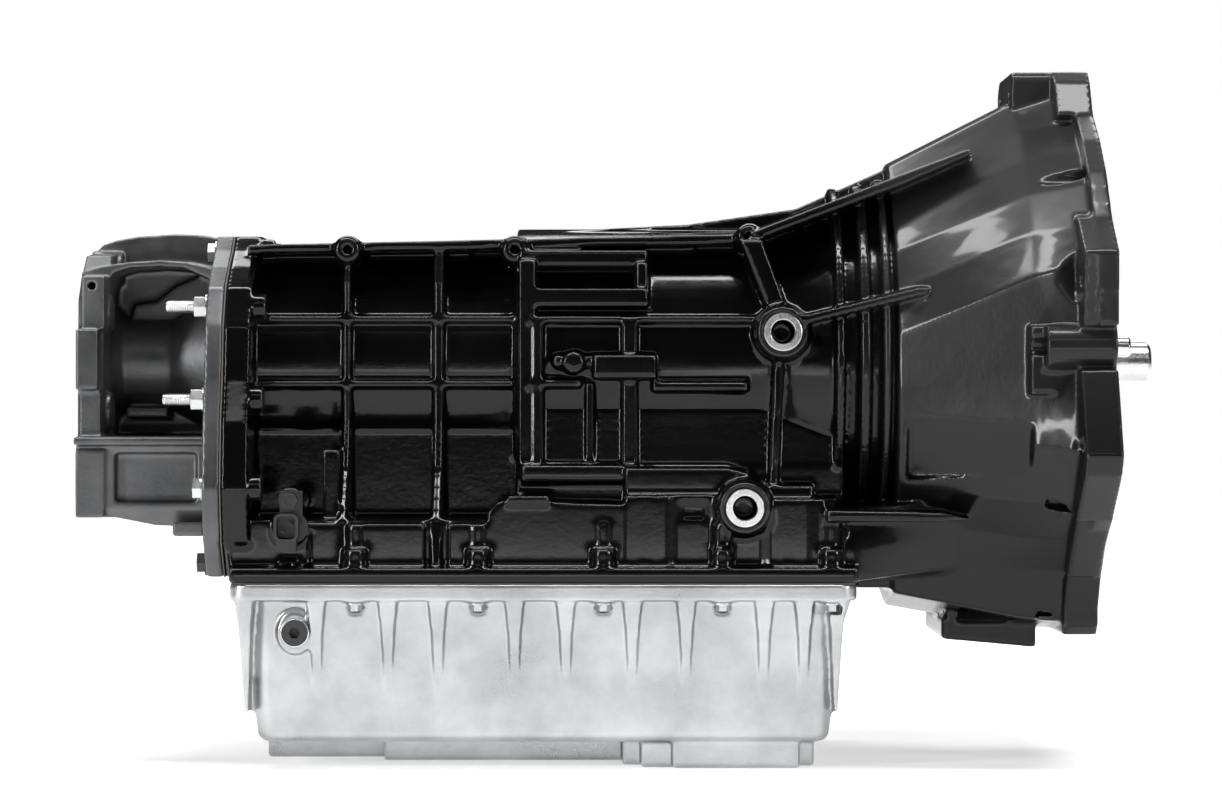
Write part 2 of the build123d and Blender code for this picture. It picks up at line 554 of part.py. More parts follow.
with BuildPart() as oil_pan:
    add(pan_body.part)
    add(pan_cuts.part, mode=Mode.SUBTRACT)
save(oil_pan, "oil_pan")

with BuildPart() as pan_gasket:
    box(RAIL_X0 + 2, RAIL_X1 - 2, -RAIL_Y + 2, RAIL_Y - 2, PAN_TOP, RAIL_Z)
    box(-686, -214, -146, 146, PAN_TOP - 1, RAIL_Z + 1, mode=Mode.SUBTRACT)
    for bx in PAN_BOLTS_X:
        for s in (-1, 1):
            cyl_z(PAN_TOP - 1, RAIL_Z + 1, 3.4, bx, s * PAN_BOLT_Y, mode=Mode.SUBTRACT)
    for bx, by in PAN_END_BOLTS:
        cyl_z(PAN_TOP - 1, RAIL_Z + 1, 3.4, bx, by, mode=Mode.SUBTRACT)
save(pan_gasket, "pan_gasket")

with BuildPart() as pan_bolts:
    for bx, by in [(x, s * PAN_BOLT_Y) for x in PAN_BOLTS_X for s in (-1, 1)] + PAN_END_BOLTS:
        top = PAN_TOP - PAN_FLANGE - (2 if abs(by) > 120 else 0)
        cyl_z(top, RAIL_Z + 12, 3.0, bx, by)
        cyl_z(top - 1.5, top, 7.0, bx, by)
        with BuildSketch(Plane.XY.offset(top - 6.5)) as head:
            with Locations((bx, by)):
                RegularPolygon(5.0, 6, major_radius=False)
        extrude(head.sketch, amount=5)
save(pan_bolts, "pan_bolts")

with BuildPart() as pan_side_plug:
    cyl_y(-155.5, -126, 8.0, -646, -217)
    cyl_y(-159, -155.5, 10.5, -646, -217)
    with BuildSketch(Plane(origin=(-646, -160, -217), x_dir=(1, 0, 0), z_dir=(0, -1, 0))) as socket:
        RegularPolygon(4.0, 6, major_radius=False)
    extrude(socket.sketch, amount=-9, mode=Mode.SUBTRACT)
save(pan_side_plug, "pan_side_plug")

with BuildPart() as pan_plug_washer:
    cyl_y(-155.5, -154, 11.4, -646, -217)
    cyl_y(-156, -153, 8.0, -646, -217, mode=Mode.SUBTRACT)
save(pan_plug_washer, "pan_plug_washer")

with BuildPart() as pan_magnet:
    cyl_z(PAN_BOTTOM + 6, PAN_BOTTOM + 13, 17, -450, 20)
    cyl_z(PAN_BOTTOM + 5, PAN_BOTTOM + 14, 7, -450, 20, mode=Mode.SUBTRACT)
save(pan_magnet, "pan_magnet")

# ------------------------------------------------------------------ ports, sensors, small outside pieces
with BuildPart() as port_sleeves:
    for px, pz, py in PORTS:
        cyl_y(py - 2, py + 12, 15.3, px, pz)
        cyl_y(py - 3, py + 13, 9.7, px, pz, mode=Mode.SUBTRACT)
save(port_sleeves, "port_sleeves")

with BuildPart() as speed_sensor:
    cyl_y(-150, -120, 9.5, -650, -133)
    cyl_y(-154, -150, 12.5, -648, -133)
    box(-658, -640, -154, -150, -133, -104)
    with BuildSketch(Plane(origin=(-652, -153, -133), x_dir=(1, 0, 0), z_dir=(0, -1, 0))) as shell:
        RectangleRounded(19.5, 22.5, 5.5)
    extrude(shell.sketch, amount=15)
    box(-660, -644, -166, -154, -152, -143)
    with BuildSketch(Plane(origin=(-652, -169, -133), x_dir=(1, 0, 0), z_dir=(0, -1, 0))) as mouth:
        RectangleRounded(15, 18, 4)
    extrude(mouth.sketch, amount=-12, mode=Mode.SUBTRACT)
    cyl_y(-156.5, -164, 1.3, -648.5, -130)
    cyl_y(-156.5, -164, 1.3, -655, -136)
    cyl_y(-156, -148, 3.2, -650, -111.5, mode=Mode.SUBTRACT)
save(speed_sensor, "speed_sensor")

with BuildPart() as speed_sensor_bolt:
    cyl_y(-154, -137, 3.0, -650, -111.5)
    cyl_y(-156, -154, 9.0, -650, -111.5)
    with BuildSketch(Plane(origin=(-650, -156, -111.5), x_dir=(1, 0, 0), z_dir=(0, -1, 0))) as head:
        RegularPolygon(6.0, 6, major_radius=False)
    extrude(head.sketch, amount=4.5)
    cyl_y(-162, -159.5, 3.8, -650, -111.5, mode=Mode.SUBTRACT)
save(speed_sensor_bolt, "speed_sensor_bolt")

with BuildPart() as dowel_pins:
    for s in (-1, 1):
        cyl_x(-14, 9, DOWEL_R, s * DOWEL_Y, DOWEL_Z)
        cone_x(9, 11, DOWEL_R, 6.5, s * DOWEL_Y, DOWEL_Z)
save(dowel_pins, "dowel_pins")

with BuildPart() as solenoid_connector:
    cyl_y(125, 166, 16.9, -550, -142)
    cyl_y(152, 158, 20.0, -550, -142)
    cyl_y(142, 167, 13.0, -550, -142, mode=Mode.SUBTRACT)
    for k in range(8):
        a = math.pi / 4 * k
        cyl_y(140, 158, 1.2, -550 + 8 * math.cos(a), -142 + 8 * math.sin(a))
save(solenoid_connector, "solenoid_connector")

with BuildPart() as pressure_plug:
    cyl_y(122, 142, 4.0, -330, 40)
    cyl_y(142, 144, 8.5, -330, 40)
    with BuildSketch(Plane(origin=(-330, 144, 40), x_dir=(-1, 0, 0), z_dir=(0, 1, 0))) as head:
        RegularPolygon(6.5, 6, major_radius=False)
    extrude(head.sketch, amount=6)
save(pressure_plug, "pressure_plug")

# ------------------------------------------------------------------ pump at the front of the case
with BuildPart() as pump_body:
    cyl_x(-186, PUMP_GEAR_X1, 117.9)
    cyl_x(PUMP_GEAR_X0, PUMP_GEAR_X1 + 1, 58.05, 0, PUMP_OFFSET, mode=Mode.SUBTRACT)
    with BuildSketch(Plane.YZ.offset(PUMP_GEAR_X0)) as crescent:
        with Locations((0, PUMP_OFFSET)):
            Circle(44.4)
        Circle(34.9, mode=Mode.SUBTRACT)
        with Locations((0, -50)):
            Rectangle(140, 120, mode=Mode.SUBTRACT)
    extrude(crescent.sketch, amount=PUMP_GEAR_X1 - PUMP_GEAR_X0)
    cyl_x(-187, PUMP_GEAR_X0 + 1, 22.0, mode=Mode.SUBTRACT)
    for k in range(6):
        a = math.radians(60 * k + 30)
        cyl_x(-187, -160, 4.0, PUMP_BOLT_R * math.cos(a), PUMP_BOLT_R * math.sin(a), mode=Mode.SUBTRACT)
save(pump_body, "pump_body")

with BuildPart() as pump_cover:
    cyl_x(PUMP_GEAR_X1, -150, 117.9)
    cyl_x(-151, -140, 46)
    cyl_x(PUMP_GEAR_X1 - 1, -139, 30.0, mode=Mode.SUBTRACT)
    cyl_x(-149, -139, 38.0, mode=Mode.SUBTRACT)
    for k in range(6):
        a = math.radians(60 * k + 30)
        cyl_x(-170, -149, 4.0, PUMP_BOLT_R * math.cos(a), PUMP_BOLT_R * math.sin(a), mode=Mode.SUBTRACT)
    for k in range(12):
        a = math.radians(30 * k + 15)
        cyl_x(-156, -149, 11.0, 74 * math.cos(a), 74 * math.sin(a), mode=Mode.SUBTRACT)
save(pump_cover, "pump_cover")

with BuildPart() as pump_bolts:
    for k in range(6):
        a = math.radians(60 * k + 30)
        cyl_x(-184, -150, 4.0, PUMP_BOLT_R * math.cos(a), PUMP_BOLT_R * math.sin(a))
        cyl_x(-150, -148.5, 8.0, PUMP_BOLT_R * math.cos(a), PUMP_BOLT_R * math.sin(a))
        hexagon_x(-148.5, -143, PUMP_BOLT_R * math.cos(a), PUMP_BOLT_R * math.sin(a), 12.0)
save(pump_bolts, "pump_bolts")

with BuildPart() as converter_seal:
    cyl_x(-149, -140.5, 38.0)
    cyl_x(-150, -140, 30.0, mode=Mode.SUBTRACT)
    circle_ring(-146, -139, 36.0, 33.0, mode=Mode.SUBTRACT)
save(converter_seal, "converter_seal")

with BuildPart() as stator_support:
    cyl_x(-192, -186, 44)
    cyl_x(-187, -30, 22.0)
    cyl_x(-193, -29, INNER_R + 0.08, mode=Mode.SUBTRACT)
    for k in range(18):
        a = math.radians(20 * k)
        cyl_x(-62, -29, 1.3, 22.0 * math.cos(a), 22.0 * math.sin(a), mode=Mode.SUBTRACT)
save(stator_support, "stator_support")

with BuildPart() as pump_drive_gear:
    prism_x(gear_points(PUMP_DRIVE_N, PUMP_MODULE, 0.85, 1.2, 0.16, math.radians(10)), PUMP_GEAR_X0 + 0.1, PUMP_GEAR_X1 - 0.1)
    cyl_x(PUMP_GEAR_X0 - 1, PUMP_GEAR_X1 + 1, 22.08, mode=Mode.SUBTRACT)
save(pump_drive_gear, "pump_drive_gear")

with BuildPart() as pump_driven_gear:
    cyl_x(PUMP_GEAR_X0 + 0.1, PUMP_GEAR_X1 - 0.1, 58.0, 0, PUMP_OFFSET)
    with BuildSketch(Plane.YZ.offset(PUMP_GEAR_X0 - 1)) as cutter:
        with Locations((0, PUMP_OFFSET)):
            with BuildLine():
                Polyline(*[(y, z + PUMP_OFFSET) for y, z in gear_points(PUMP_DRIVEN_N, PUMP_MODULE, 1.2, 0.75, -0.16, math.radians(270 - 20 * 360 / 27))], close=True)
        make_face()
    extrude(cutter.sketch, amount=16, mode=Mode.SUBTRACT)
save(pump_driven_gear, "pump_driven_gear")

# ------------------------------------------------------------------ input side
with BuildPart() as input_shaft:
    cyl_x(-20, 55, SHAFT_R)
    cone_x(55, 58, SHAFT_R, SHAFT_R - 3)
    cyl_x(-208, -20, INNER_R)
    cyl_x(-322, -207, 14.0)
    cyl_x(-208, 59, 4.0, mode=Mode.SUBTRACT)
save(input_shaft, "input_shaft")

with BuildPart() as clutch_drum:
    circle_ring(-322, -202, 99.0, 92.0)
    circle_ring(-208, -200, 99.0, INNER_R)
    circle_ring(-240, -200, 26.0, INNER_R)
    cyl_x(-241, -208, 14.0, mode=Mode.SUBTRACT)
    circle_ring(-240, -208, 20.0, 14.0)
    for k in range(12):
        a = math.radians(30 * k)
        cyl_x(-316, -250, 4.0, 93.0 * math.cos(a), 93.0 * math.sin(a), mode=Mode.SUBTRACT)
save(clutch_drum, "clutch_drum")

with BuildPart() as clutch_piston:
    circle_ring(-226, -216, 91.9, 26.1)
    circle_ring(-247, -225, 88.0, 74.0)
save(clutch_piston, "clutch_piston")

with BuildPart() as steel_plates:
    for k in range(6):
        circle_ring(-250 - 9 * k, -247 - 9 * k, 91.8, 62.0)
save(steel_plates, "steel_plates")

with BuildPart() as friction_plates:
    for k in range(5):
        circle_ring(-254.5 - 9 * k, -251.5 - 9 * k, 88.0, 54.2)
        circle_ring(-256 - 9 * k, -250 - 9 * k, 87.0, 64.0)
save(friction_plates, "friction_plates")

with BuildPart() as clutch_hub:
    circle_ring(-306, -246, 54.0, 48.0)
    circle_ring(-306, -300, 54.0, 16.0)
    circle_ring(-330, -300, 24.0, 16.0)
    cyl_x(-331, -290, 16.0, mode=Mode.SUBTRACT)
save(clutch_hub, "clutch_hub")

with BuildPart() as clutch_snap_ring:
    circle_ring(-298, -295, 91.9, 84.0)
    box(-299, -294, -4, 4, 80, 95, mode=Mode.SUBTRACT)
save(clutch_snap_ring, "clutch_snap_ring")

# ------------------------------------------------------------------ planetary set
with BuildPart() as sun_gear:
    prism_x(gear_points(SUN_N, MODULE, 0.95, 1.25, 0.12), GEAR_X0, GEAR_X1)
    cyl_x(-533, -324, 16.0)
    cyl_x(-563, -323, 7.0, mode=Mode.SUBTRACT)
save(sun_gear, "sun_gear")

with BuildPart() as centre_support:
    cyl_x(-472, -458, 87.9)
    circle_ring(-484, -450, 34, 20)
    cyl_x(-485, -449, 20.0, mode=Mode.SUBTRACT)
    for k in range(6):
        a = math.radians(60 * k)
        cyl_x(-473, -457, 12.0, 58 * math.cos(a), 58 * math.sin(a), mode=Mode.SUBTRACT)
save(centre_support, "centre_support")

with BuildPart() as support_bushing:
    circle_ring(-484, -450, 20.0, 16.06)
save(support_bushing, "support_bushing")

with BuildPart() as ring_gear:
    cyl_x(GEAR_X0 - 2, GEAR_X1 + 2, 87.9)
    with BuildSketch(Plane.YZ.offset(GEAR_X0 - 3)) as cutter:
        with BuildLine():
            Polyline(*gear_points(RING_N, MODULE, 1.25, 0.8, -0.12, math.pi / RING_N), close=True)
        make_face()
    extrude(cutter.sketch, amount=40, mode=Mode.SUBTRACT)
save(ring_gear, "ring_gear")

PLANET_R = (SUN_N + PLANET_N) * MODULE / 2
with BuildPart() as planet_carrier:
    cyl_x(-530, -521, 68)
    cyl_x(-578, -564, 68)
    for k in range(4):
        a = math.radians(45 + 90 * k)
        cyl_x(-566, -528, 7.0, 54 * math.cos(a), 54 * math.sin(a))
    cyl_x(-579, -520, 18.0, mode=Mode.SUBTRACT)
    for k in range(4):
        a = math.radians(90 * k)
        cyl_x(-579, -520, 6.0, PLANET_R * math.cos(a), PLANET_R * math.sin(a), mode=Mode.SUBTRACT)
save(planet_carrier, "planet_carrier")

with BuildPart() as planet_pins:
    for k in range(4):
        a = math.radians(90 * k)
        cyl_x(-577, -522, 6.0, PLANET_R * math.cos(a), PLANET_R * math.sin(a))
save(planet_pins, "planet_pins")

for i in range(PLANET_COUNT):
    a = math.radians(90 * i)
    cy, cz = PLANET_R * math.cos(a), PLANET_R * math.sin(a)
    with BuildPart() as planet:
        prism_x([(y + cy, z + cz) for y, z in gear_points(PLANET_N, MODULE, 0.95, 1.2, 0.12, math.radians(11.25 if i % 2 == 0 else 0))], GEAR_X0 + 0.5, GEAR_X1 - 0.5)
        cyl_x(GEAR_X0 - 1, GEAR_X1 + 1, 6.05, cy, cz, mode=Mode.SUBTRACT)
    save(planet, f"planet_gear_{i + 1}")

# ------------------------------------------------------------------ output side
with BuildPart() as output_shaft:
    cyl_x(-800, -566, 18.0)
    cyl_x(-806, -799, 15.0)
save(output_shaft, "output_shaft")

with BuildPart() as park_gear:
    pts = []
    for k in range(10):
        c = 2 * math.pi * (k + 0.5) / 10 + math.radians(270)
        for dr, da in ((32, -11), (41, -8), (41, 8), (32, 11)):
            pts.append((dr * math.cos(c + math.radians(da)), dr * math.sin(c + math.radians(da))))
    prism_x(pts, -612, -598)
    cyl_x(-613, -597, 18.0, mode=Mode.SUBTRACT)
save(park_gear, "park_gear")

with BuildPart() as output_bushings:
    circle_ring(ADAPT_X0 - ADAPT_FLANGE - 18, ADAPT_X0 - ADAPT_FLANGE + 1, 23.0, 18.06)
    circle_ring(-798, -770, 23.0, 18.06)
save(output_bushings, "output_bushings")

with BuildPart() as output_seal:
    circle_ring(-828.5, -819, 30.0, 19.5)
    circle_ring(-829, -822, 28.0, 23.0, mode=Mode.SUBTRACT)
save(output_seal, "output_seal")

# ------------------------------------------------------------------ park mechanism
with BuildPart() as pawl_pin:
    cyl_x(-704, -594, 5.0, PAWL_Y, PAWL_Z)
save(pawl_pin, "pawl_pin")

with BuildPart() as park_pawl:
    prism_x([(PAWL_Y + 6, PAWL_Z - 8), (PAWL_Y + 6, PAWL_Z + 7), (PAWL_Y - 10, PAWL_Z + 3), (12, -56.5), (5, -55.2), (3.5, -49.2), (-3.5, -49.2), (-5, -55.2), (-12, -59), (-12, -66), (14, -66)], -611, -599)
    prism_x([(14, -60), (34, -56), (32, -108.2), (18, -108.2)], -611, -599)
    cyl_x(-611, -599, 9.5, PAWL_Y, PAWL_Z)
    cyl_x(-612, -598, 5.05, PAWL_Y, PAWL_Z, mode=Mode.SUBTRACT)
save(park_pawl, "park_pawl")

with BuildPart() as park_rod:
    cyl_x(-598, -430, 3.5, ROD_Y, ROD_Z)
    cone_x(-604, -598, 2.0, 3.5, ROD_Y, ROD_Z)
    cone_x(-596, -586, 3.5, 6.5, ROD_Y, ROD_Z)
    cyl_x(-586, -576, 6.5, ROD_Y, ROD_Z)
    cyl_y(ROD_Y, 28.9, 3.0, -434, ROD_Z)
save(park_rod, "park_rod")

# ------------------------------------------------------------------ selector
with BuildPart() as manual_shaft:
    cyl_y(22, 176, 8.0, -430, -88)
    cyl_y(176, 188, 5.0, -430, -88)
save(manual_shaft, "manual_shaft")

with BuildPart() as shift_lever:
    with BuildSketch(Plane(origin=(-430, 170, -88), x_dir=(-1, 0, 0), z_dir=(0, 1, 0))) as arm:
        with BuildLine():
            Polyline((-16, -10), (-16, 10), (-8, 18), (-9, 62), (0, 72), (9, 62), (8, 18), (16, 10), (16, -10), close=True)
        make_face()
    extrude(arm.sketch, amount=6)
    cyl_y(168, 180, 4.5, -430, -26, mode=Mode.SUBTRACT)
    cyl_y(168, 180, 8.0, -430, -88, mode=Mode.SUBTRACT)
save(shift_lever, "shift_lever")

with BuildPart() as lever_nut:
    with BuildSketch(Plane(origin=(-430, 176, -88), x_dir=(-1, 0, 0), z_dir=(0, 1, 0))) as nut:
        RegularPolygon(8.5, 6, major_radius=False)
        Circle(5.0, mode=Mode.SUBTRACT)
    extrude(nut.sketch, amount=8)
save(lever_nut, "lever_nut")

with BuildPart() as selector_seal:
    cyl_y(152, 158, 14.0, -430, -88)
    cyl_y(151, 159, 8.08, -430, -88, mode=Mode.SUBTRACT)
save(selector_seal, "selector_seal")

with BuildPart() as detent_plate:
    with BuildSketch(Plane(origin=(-430, 34, -88), x_dir=(1, 0, 0), z_dir=(0, -1, 0))) as plate:
        Circle(14)
        with BuildLine():
            Polyline((-20, -30), (-12, -38), (-8, -35), (-4, -39), (-3, -52), (3, -52), (4, -39), (8, -35), (12, -38), (20, -30), (10, 2), (-10, 2), close=True)
        make_face()
    extrude(plate.sketch, amount=5)
    cyl_y(20, 40, 8.0, -430, -88, mode=Mode.SUBTRACT)
save(detent_plate, "detent_plate")

# ------------------------------------------------------------------ valve body and filter
with BuildPart() as valve_body:
    box(-640, -290, -112, 112, -158, -135)
    box(-470, -392, 10, 54, -159, -134, mode=Mode.SUBTRACT)
    for vy in (-92, -72, -52, -32, -12, 72, 92):
        cyl_x(-641, -560, 6.0, vy, -147, mode=Mode.SUBTRACT)
    cyl_x(-393, -289, 7.05, 28, -147, mode=Mode.SUBTRACT)
    for x0 in (-540, -420, -380, -330):
        box(x0, x0 + 26, -100, -60, -150, -134, mode=Mode.SUBTRACT)
save(valve_body, "valve_body")

with BuildPart() as separator_plate:
    box(-640, -290, -112, 112, -160, -158)
    box(-470, -392, 10, 54, -161, -157, mode=Mode.SUBTRACT)
    for k in range(9):
        for vy in (-80, -40, 80):
            cyl_z(-161, -157, 4, -620 + 38 * k, vy, mode=Mode.SUBTRACT)
save(separator_plate, "separator_plate")

with BuildPart() as solenoid_pack:
    box(-640, -480, -100, 100, -178, -160)
    for k in range(4):
        cyl_z(-200, -178, 12, -620 + 40 * k, 50)
save(solenoid_pack, "solenoid_pack")

with BuildPart() as manual_valve:
    cyl_x(-386, -320, 7.0, 28, -147)
    cyl_x(-416, -386, 3.0, 28, -147)
save(manual_valve, "manual_valve")

with BuildPart() as oil_filter:
    with BuildSketch(Plane.XY.offset(-196)) as can:
        with Locations((-380, 0)):
            RectangleRounded(150, 170, 20)
    extrude(can.sketch, amount=34)
    cyl_z(-298, -196, 20, -370, 0)
    cyl_z(-299, -280, 14, -370, 0, mode=Mode.SUBTRACT)
    cyl_z(-163, -160, 12, -330, 0)
save(oil_filter, "oil_filter")
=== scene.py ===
import json
import math

import bmesh
import bpy
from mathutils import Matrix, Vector


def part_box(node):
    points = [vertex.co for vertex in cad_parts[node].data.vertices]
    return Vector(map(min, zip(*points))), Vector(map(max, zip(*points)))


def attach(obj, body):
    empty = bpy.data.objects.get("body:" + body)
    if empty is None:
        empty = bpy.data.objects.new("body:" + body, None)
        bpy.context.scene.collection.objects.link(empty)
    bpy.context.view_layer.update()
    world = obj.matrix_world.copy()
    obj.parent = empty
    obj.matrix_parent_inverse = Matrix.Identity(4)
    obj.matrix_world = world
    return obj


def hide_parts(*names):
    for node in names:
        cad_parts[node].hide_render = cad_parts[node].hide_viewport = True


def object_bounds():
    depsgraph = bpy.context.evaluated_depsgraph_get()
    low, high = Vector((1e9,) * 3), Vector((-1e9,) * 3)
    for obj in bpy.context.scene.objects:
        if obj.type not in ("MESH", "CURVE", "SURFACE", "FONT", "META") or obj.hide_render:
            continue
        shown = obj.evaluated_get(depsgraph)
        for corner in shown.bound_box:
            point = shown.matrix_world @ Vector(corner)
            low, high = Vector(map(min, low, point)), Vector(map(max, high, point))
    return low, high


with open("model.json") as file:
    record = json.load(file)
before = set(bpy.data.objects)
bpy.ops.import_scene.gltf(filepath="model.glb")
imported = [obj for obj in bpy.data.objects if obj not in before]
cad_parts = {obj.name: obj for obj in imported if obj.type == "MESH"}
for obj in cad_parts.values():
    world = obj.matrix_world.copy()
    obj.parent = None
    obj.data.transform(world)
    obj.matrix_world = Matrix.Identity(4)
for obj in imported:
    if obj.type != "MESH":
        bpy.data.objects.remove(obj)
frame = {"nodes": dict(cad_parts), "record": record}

cad_lo, cad_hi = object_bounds()
nodes = frame["nodes"]
record = frame["record"]
slots = {s["node"]: s.get("material_slot", s["node"]) for s in record["subparts"]}
scene = bpy.context.scene


# ------------------------------------------------------------------ materials
def socket(node, *names):
    for n in names:
        if n in node.inputs:
            return node.inputs[n]
    return None


class Tree:
    def __init__(self, name):
        self.mat = bpy.data.materials.new(name)
        self.mat.use_nodes = True
        self.nt = self.mat.node_tree
        self.bsdf = next(n for n in self.nt.nodes if n.type == "BSDF_PRINCIPLED")
        self.coord = self.add("ShaderNodeTexCoord").outputs["Object"]

    def add(self, kind, **values):
        n = self.nt.nodes.new(kind)
        for k, v in values.items():
            setattr(n, k, v)
        return n

    def link(self, a, b):
        self.nt.links.new(a, b)

    def noise(self, scale, detail=4.0, rough=0.55, coord=None):
        n = self.add("ShaderNodeTexNoise")
        n.inputs["Scale"].default_value = scale
        n.inputs["Detail"].default_value = detail
        n.inputs["Roughness"].default_value = rough
        self.link(coord or self.coord, n.inputs["Vector"])
        return n.outputs["Fac"]

    def stretched(self, sx, sy, sz):
        m = self.add("ShaderNodeMapping")
        m.inputs["Scale"].default_value = (sx, sy, sz)
        self.link(self.coord, m.inputs["Vector"])
        return m.outputs["Vector"]

    def ramp(self, fac, a, b, lo=0.0, hi=1.0, smooth=True):
        n = self.add("ShaderNodeMapRange")
        n.interpolation_type = "SMOOTHSTEP" if smooth else "LINEAR"
        n.inputs["From Min"].default_value = lo
        n.inputs["From Max"].default_value = hi
        n.inputs["To Min"].default_value = a
        n.inputs["To Max"].default_value = b
        self.link(fac, n.inputs["Value"])
        return n.outputs["Result"]

    def mix(self, fac, a, b, blend="MIX"):
        n = self.add("ShaderNodeMix", data_type="RGBA", blend_type=blend)
        col = [s for s in n.inputs if s.type == "RGBA"]
        if isinstance(fac, (int, float)):
            n.inputs[0].default_value = fac
        else:
            self.link(fac, n.inputs[0])
        for s, v in zip(col, (a, b)):
            if isinstance(v, (tuple, list)):
                s.default_value = (*v, 1.0) if len(v) == 3 else v
            else:
                self.link(v, s)
        return next(o for o in n.outputs if o.type == "RGBA")

    def math(self, op, a, b):
        n = self.add("ShaderNodeMath", operation=op)
        for s, v in zip(n.inputs, (a, b)):
            if isinstance(v, (int, float)):
                s.default_value = v
            else:
                self.link(v, s)
        return n.outputs[0]

    def bump(self, height, strength, distance, chain=None):
        n = self.add("ShaderNodeBump")
        n.inputs["Strength"].default_value = strength
        n.inputs["Distance"].default_value = distance
        self.link(height, n.inputs["Height"])
        if chain is not None:
            self.link(chain, n.inputs["Normal"])
        return n.outputs["Normal"]

    # pointiness mask for the painted highlight: convex edges and rib tops painted lighter in place of the light they
    # catch
    def edges(self, lo, hi):
        g = self.add("ShaderNodeNewGeometry")
        return self.ramp(g.outputs["Pointiness"], 0.0, 1.0, lo, hi)

    def out(self, color=None, rough=None, normal=None, metallic=0.0, specular=0.5, coat=0.0, coat_rough=0.1):
        b = self.bsdf
        if color is not None:
            self.link(color, b.inputs["Base Color"])
        if rough is not None:
            self.link(rough, b.inputs["Roughness"])
        if normal is not None:
            self.link(normal, b.inputs["Normal"])
        b.inputs["Metallic"].default_value = metallic
        s = socket(b, "Specular IOR Level", "Specular")
        if s is not None:
            s.default_value = specular
        s = socket(b, "Coat Weight", "Clearcoat")
        if s is not None:
            s.default_value = coat
        s = socket(b, "Coat Roughness", "Clearcoat Roughness")
        if s is not None:
            s.default_value = coat_rough
        return self.mat


def split_x(t):
    n = t.add("ShaderNodeSeparateXYZ")
    t.link(t.coord, n.inputs[0])
    return n.outputs["X"], n.outputs["Y"], n.outputs["Z"]


def case_paint():
    t = Tree("case_paint")
    x, y, z = split_x(t)
    blot = t.noise(9, 5)
    fine = t.noise(260, 6)
    # the bell is a little greyer and flatter (rougher) than the barrel; its upper part is painted lighter, a painted
    # highlight where the overhead light falls on it
    bell = t.ramp(x, 0.0, 1.0, -0.235, -0.145)
    painted_top_light = t.ramp(z, 0.0, 1.0, -0.14, 0.12)
    col = t.mix(bell, (0.0016, 0.0017, 0.0018), t.mix(painted_top_light, (0.0020, 0.0021, 0.0022), (0.017, 0.0172, 0.0178)))
    col = t.mix(t.ramp(blot, 0.0, 0.35, 0.45, 0.8), col, (0.005, 0.0051, 0.0054))
    # painted highlight: convex edges painted light grey where the lamps would catch them
    col = t.mix(t.math("MULTIPLY", t.edges(0.525, 0.60), 0.7), col, (0.11, 0.111, 0.114))
    rough = t.math("ADD", t.ramp(blot, 0.12, 0.19, 0.3, 0.75), t.math("MULTIPLY", fine, 0.04))
    rough = t.math("ADD", rough, t.math("MULTIPLY", bell, 0.17))
    n = t.bump(fine, 0.35, 0.00022)
    n = t.bump(t.noise(55, 3), 0.30, 0.0007, n)
    return t.out(col, rough, n, 0.0, 0.17, 0.26, 0.09)


def cast_metal(name, low, high, r0, r1, metallic, grain=420, depth=0.00028, dirt=0.35, spec=0.5):
    t = Tree(name)
    blot = t.noise(14, 6, 0.6)
    fine = t.noise(grain, 5)
    pits = t.noise(grain * 2.3, 3)
    col = t.mix(t.ramp(blot, 0, 1, 0.3, 0.72), low, high)
    col = t.mix(t.math("MULTIPLY", t.ramp(pits, 1.0, 0.0, 0.28, 0.42), dirt), col, tuple(v * 0.45 for v in low))
    # painted highlight: convex edges painted lighter than the metal
    col = t.mix(t.math("MULTIPLY", t.edges(0.53, 0.62), 0.5), col, tuple(min(1.0, v * 1.35 + 0.03) for v in high))
    rough = t.math("ADD", t.ramp(blot, r0, r1, 0.25, 0.75), t.math("MULTIPLY", fine, 0.08))
    n = t.bump(fine, 0.5, depth)
    n = t.bump(t.noise(70, 3), 0.35, 0.0006, n)
    return t.out(col, rough, n, metallic, spec)


def turned(name, low, high, r0, r1, metallic=1.0, axis=(1.0, 1.0, 1.0)):
    t = Tree(name)
    lines = t.noise(1.0, 3, 0.6, t.stretched(1800 * axis[0], 1800 * axis[1], 1800 * axis[2]))
    blot = t.noise(40, 5)
    col = t.mix(t.ramp(blot, 0, 1, 0.3, 0.7), low, high)
    # painted highlight: convex edges painted lighter
    col = t.mix(t.math("MULTIPLY", t.edges(0.54, 0.66), 0.6), col, tuple(min(1.0, v * 1.3) for v in high))
    rough = t.math("ADD", t.ramp(blot, r0, r1, 0.3, 0.7), t.math("MULTIPLY", lines, 0.08))
    return t.out(col, rough, t.bump(lines, 0.25, 0.00006), metallic, 0.5)


def moulded(name, low, high, r0, r1, bump=0.2, scale=500):
    t = Tree(name)
    fine = t.noise(scale, 5)
    blot = t.noise(30, 4)
    col = t.mix(t.ramp(blot, 0, 1, 0.3, 0.7), low, high)
    # painted highlight: convex edges painted lighter
    col = t.mix(t.math("MULTIPLY", t.edges(0.54, 0.66), 0.4), col, tuple(min(1.0, v * 2.2 + 0.02) for v in high))
    return t.out(col, t.ramp(blot, r0, r1, 0.3, 0.7), t.bump(fine, bump, 0.0002), 0.0, 0.5)


